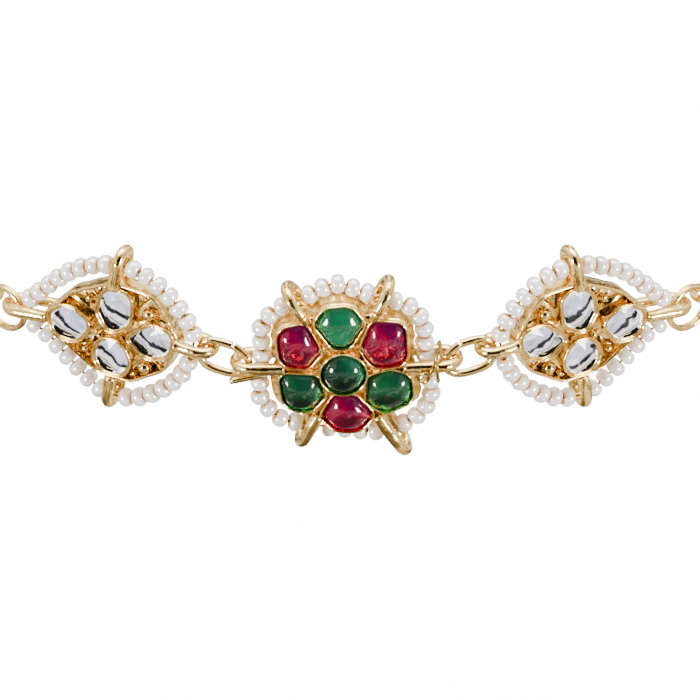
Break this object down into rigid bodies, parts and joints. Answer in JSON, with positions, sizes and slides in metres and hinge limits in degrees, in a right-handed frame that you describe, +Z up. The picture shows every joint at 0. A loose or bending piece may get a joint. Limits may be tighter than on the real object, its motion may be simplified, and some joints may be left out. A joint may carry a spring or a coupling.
{
  "type": "hair band",
  "caption": "Jewelled metal hair band: a flower of domed glass stones between two drops of clear stones, edged with seed beads, closed behind the head by a link chain.",
  "frame": {"origin": "centre of the level circle on which the motifs' faces stand, where the head is", "axes": "+Z up, towards the top of the head; -Y out of the front, through the flower; +X to the viewer's right"},
  "size_m": [0.1782, 0.1773, 0.0358],
  "materials": {
    "cast_gold": "gold plated, cast and polished",
    "ring_gold": "gold plated, polished wire",
    "gold_wire": "gold plated, fine wire",
    "green_glass": "polished dome",
    "light_green_glass": "polished dome",
    "red_glass": "polished dome",
    "polki_glass": "clear, flat table and facets",
    "seed_bead": "white, pearly"
  },
  "bodies": {
    "root": {"flower_setting": "cast_gold", "flower_stone_centre": "green_glass", "flower_stone_top": "light_green_glass", "flower_stone_upper_right": "red_glass", "flower_stone_lower_right": "green_glass", "flower_stone_bottom": "red_glass", "flower_stone_lower_left": "green_glass", "flower_stone_upper_left": "red_glass", "flower_beads": "seed_bead", "flower_bead_wire": "gold_wire", "flower_tie_wire": "gold_wire", "left_drop_setting": "cast_gold", "left_drop_beads": "seed_bead", "left_drop_bead_wire": "gold_wire", "left_jump_ring": "ring_gold", "left_end_ring": "ring_gold", "left_chain": "ring_gold", "right_drop_setting": "cast_gold", "right_drop_beads": "seed_bead", "right_drop_bead_wire": "gold_wire", "right_jump_ring": "ring_gold", "right_end_ring": "ring_gold", "right_chain": "ring_gold", "left_drop_stone_top": "polki_glass", "left_drop_stone_outer": "polki_glass", "left_drop_stone_inner": "polki_glass", "left_drop_stone_bottom": "polki_glass", "right_drop_stone_top": "polki_glass", "right_drop_stone_outer": "polki_glass", "right_drop_stone_inner": "polki_glass", "right_drop_stone_bottom": "polki_glass", "clasp_hook": "ring_gold", "clasp_ring": "ring_gold"}
  },
  "joints": []
}
